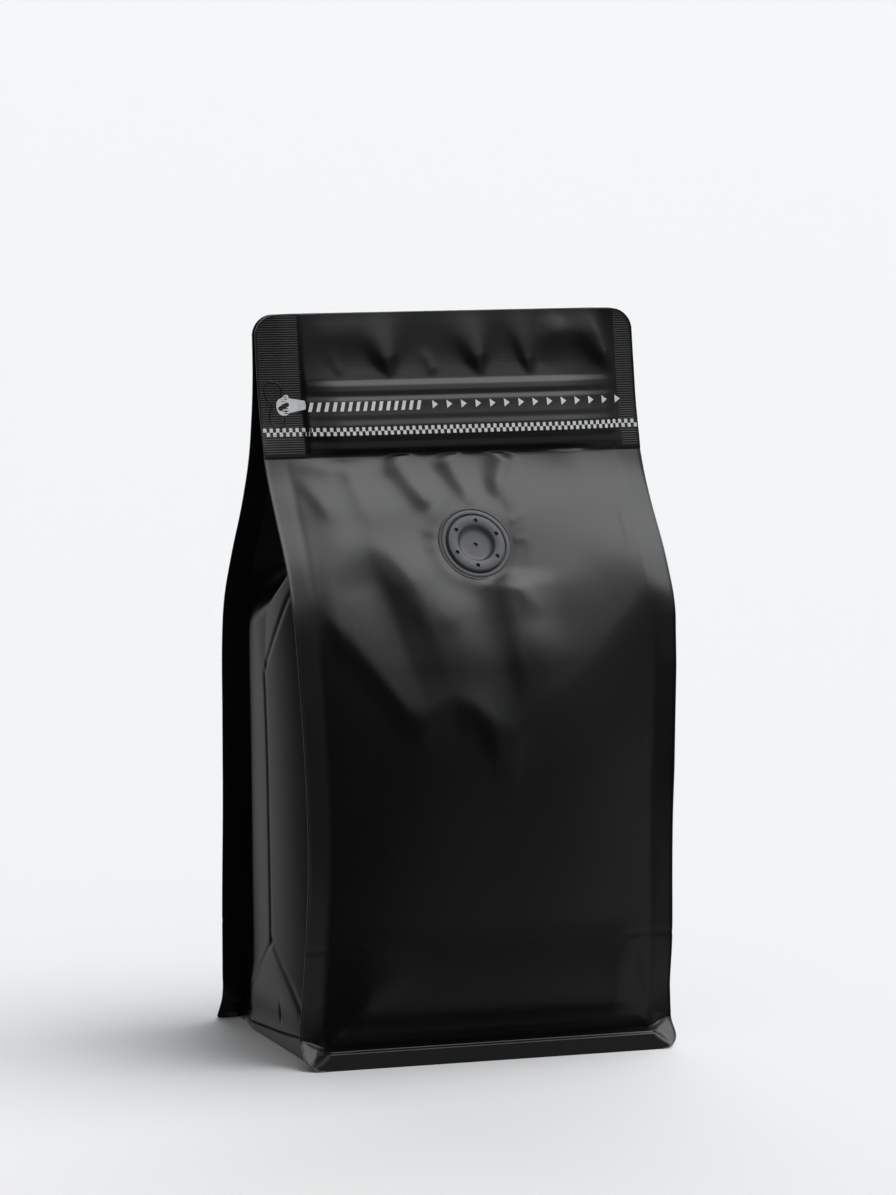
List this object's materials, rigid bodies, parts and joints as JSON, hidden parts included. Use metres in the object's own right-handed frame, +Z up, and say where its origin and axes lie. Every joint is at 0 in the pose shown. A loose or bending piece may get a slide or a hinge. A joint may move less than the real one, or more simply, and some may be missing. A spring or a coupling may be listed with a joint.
{
  "type": "stand-up coffee bag",
  "caption": "Closed flat-bottom, side-gusset coffee pouch in matte black film, with sealed corner fins, a zip header, a base skirt and a round degassing valve.",
  "frame": {"origin": "centre of the flat base, on the surface that the bag stands on", "axes": "+Z up along the height of the bag; the front panel with the valve faces -Y; the side gussets face -X and +X"},
  "size_m": [0.1302, 0.1097, 0.2395],
  "materials": {
    "film": "soft-touch matte black laminate film",
    "valve": "fine-grained satin black moulded plastic",
    "print": "matte pale grey ink"
  },
  "bodies": {
    "root": {"pouch": "film", "valve": "valve"}
  },
  "joints": []
}
